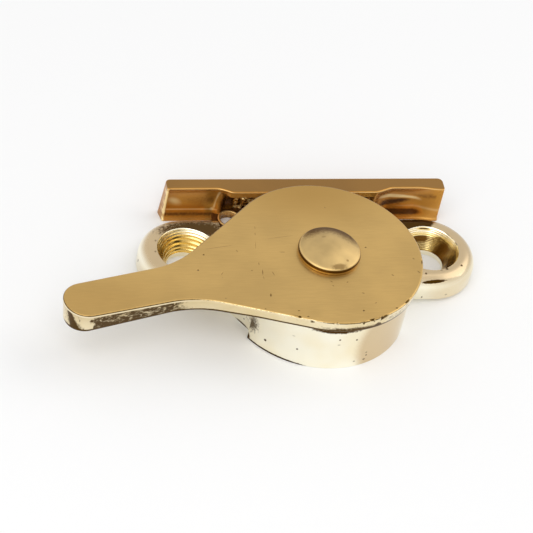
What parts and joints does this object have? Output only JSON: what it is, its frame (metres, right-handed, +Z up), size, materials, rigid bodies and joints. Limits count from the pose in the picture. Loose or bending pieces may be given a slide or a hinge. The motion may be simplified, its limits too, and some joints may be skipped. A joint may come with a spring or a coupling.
{
  "type": "sash window lock",
  "caption": "Cam-action brass sash window fastener: a lever on a drum base turns a cam behind the hook of a separate keep.",
  "frame": {"origin": "midway between the base's two screw holes, on the face that lies on the sash", "axes": "+X along the sash rail, +Y from the base towards the keep, +Z up out of the sash"},
  "size_m": [0.0726, 0.0376, 0.0133],
  "materials": {
    "bright_brass": "polished",
    "satin_brass": "satin, fine scratches and pits",
    "rivet_brass": "satin",
    "washer_steel": "plain",
    "dark_brass": "as cast, part polished"
  },
  "bodies": {
    "fixed": {"base": "bright_brass", "keep": "dark_brass", "pivot_rivet": "rivet_brass", "plain_washer": "washer_steel", "spring_washer": "washer_steel"},
    "lever": {"lever": "satin_brass"}
  },
  "joints": [
    {"name": "lever_turn", "type": "hinge", "parent": "fixed", "child": "lever", "pos_m": [0, -0.0078, 0.009], "axis": [0, 0, 1], "range_deg": [0, 100]}
  ]
}
